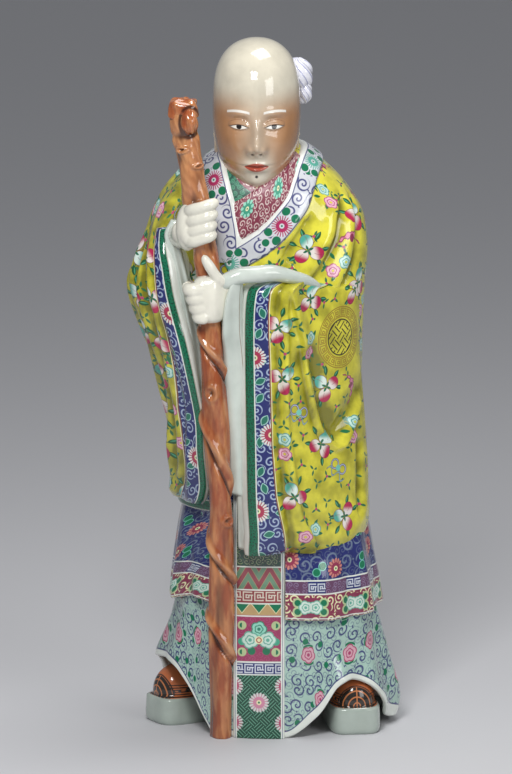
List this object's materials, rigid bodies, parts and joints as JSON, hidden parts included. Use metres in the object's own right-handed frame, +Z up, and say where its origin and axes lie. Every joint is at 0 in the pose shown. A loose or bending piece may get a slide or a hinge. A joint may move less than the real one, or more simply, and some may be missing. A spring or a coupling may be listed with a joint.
{
  "type": "porcelain figure",
  "caption": "Standing porcelain figure of a bald sage in layered robes, holding a tall gnarled staff; a table ornament.",
  "frame": {"origin": "centre of the box's underside, on the flat base", "axes": "+Z up, from the base to the crown of the head; the sage faces -Y; +X is at the viewer's right"},
  "size_m": [0.2337, 0.1806, 0.5992],
  "materials": {
    "glaze": "clear glossy glaze on white porcelain; the plain hands, linings and soles",
    "yellow_enamel": "glossy lemon yellow overglaze enamel painted with fruit sprays; the outer robe",
    "mint_enamel": "glossy mint overglaze enamel painted with scrolls; the under-skirt",
    "blue_enamel": "glossy blue overglaze enamel painted with scrolls; the skirt and the collar bands",
    "flesh_glaze": "glossy ivory glaze with flesh tints; the head",
    "iron_red": "glossy iron red enamel; the staff and the shoe caps"
  },
  "bodies": {
    "root": {"porcelain_figure": "glaze"}
  },
  "joints": []
}
